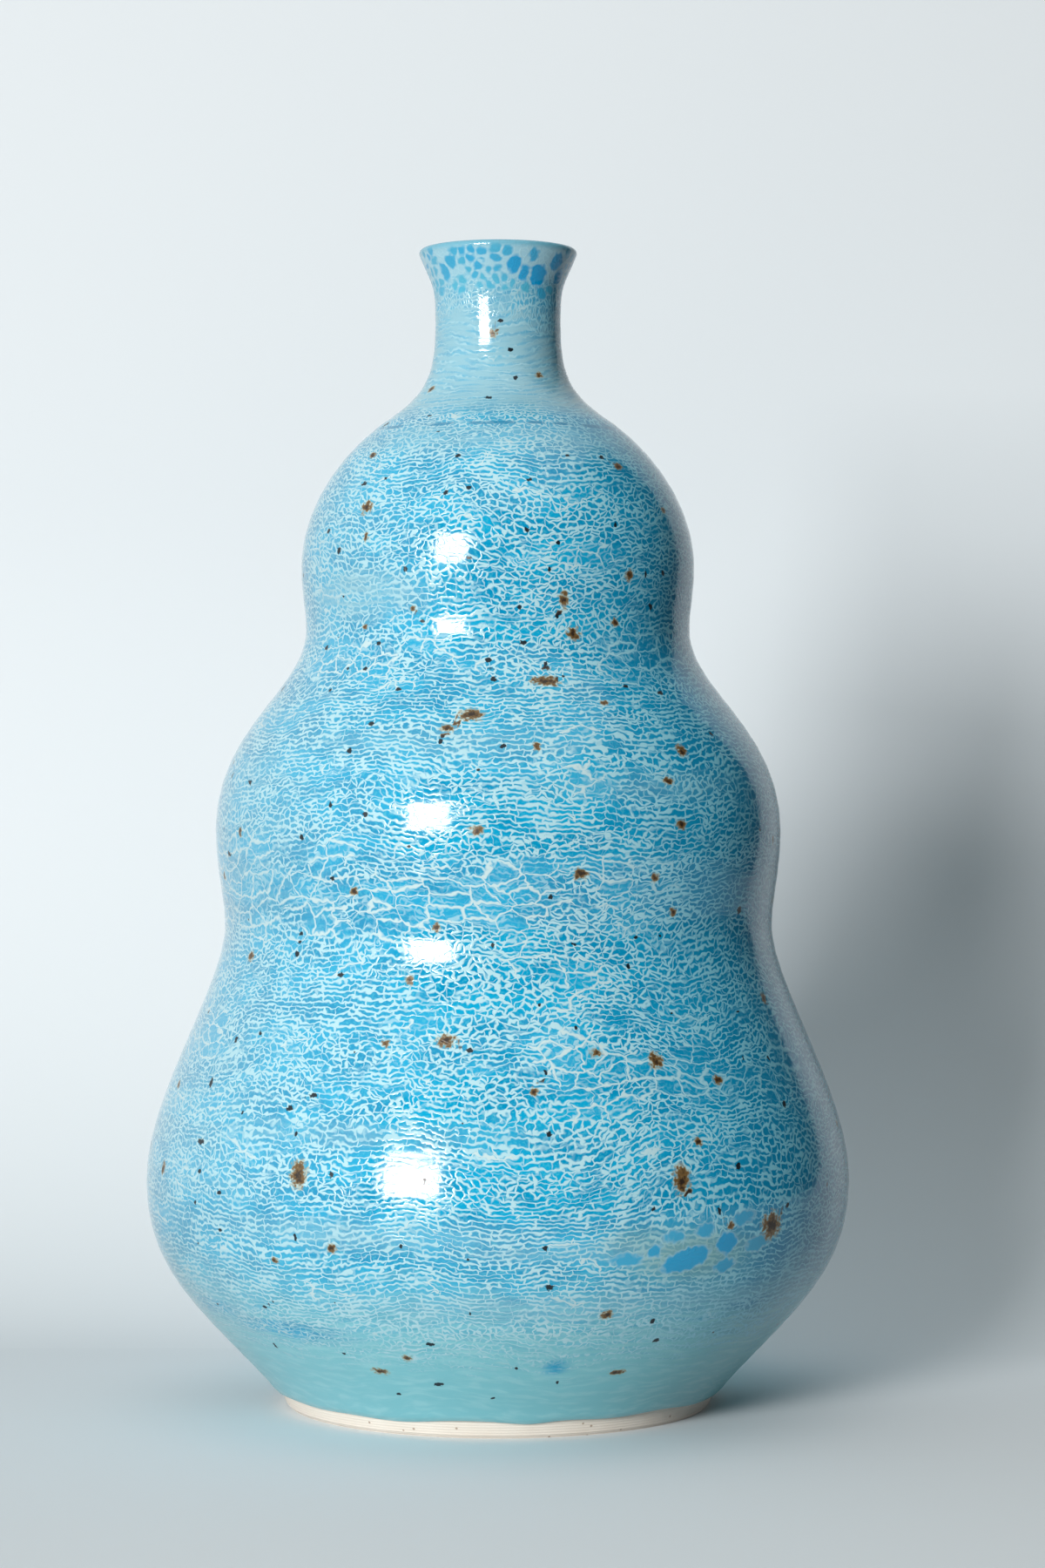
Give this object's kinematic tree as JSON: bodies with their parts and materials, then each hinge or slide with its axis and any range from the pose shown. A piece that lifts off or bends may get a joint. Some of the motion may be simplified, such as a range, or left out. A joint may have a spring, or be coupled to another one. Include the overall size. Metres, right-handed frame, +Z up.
{
  "type": "gourd vase",
  "caption": "Tall gourd-shaped bottle vase: rounded lobes stacked one on another, a narrow flared neck and a bare clay foot ring, in blue crackle glaze over teal.",
  "frame": {"origin": "centre of the foot ring on the surface that the vase stands on", "axes": "+Z up along the turning axis from the foot to the lip; +X and +Y level, the vase being round; the picture looks along +Y"},
  "size_m": [0.1704, 0.1704, 0.28],
  "materials": {
    "stoneware": "bare fired stoneware, matte",
    "slip": "fired joining slip, matte",
    "liner": "smooth gloss liner glaze",
    "base": "satin teal glaze",
    "crackle": "gloss blue crackle glaze"
  },
  "bodies": {
    "root": {"foot_section": "stoneware", "lower_seam": "slip", "middle_section": "stoneware", "upper_seam": "slip", "shoulder_section": "stoneware", "neck_seam": "slip", "neck_section": "stoneware", "liner_glaze": "liner", "base_glaze": "base", "crackle_glaze": "crackle"}
  },
  "joints": []
}
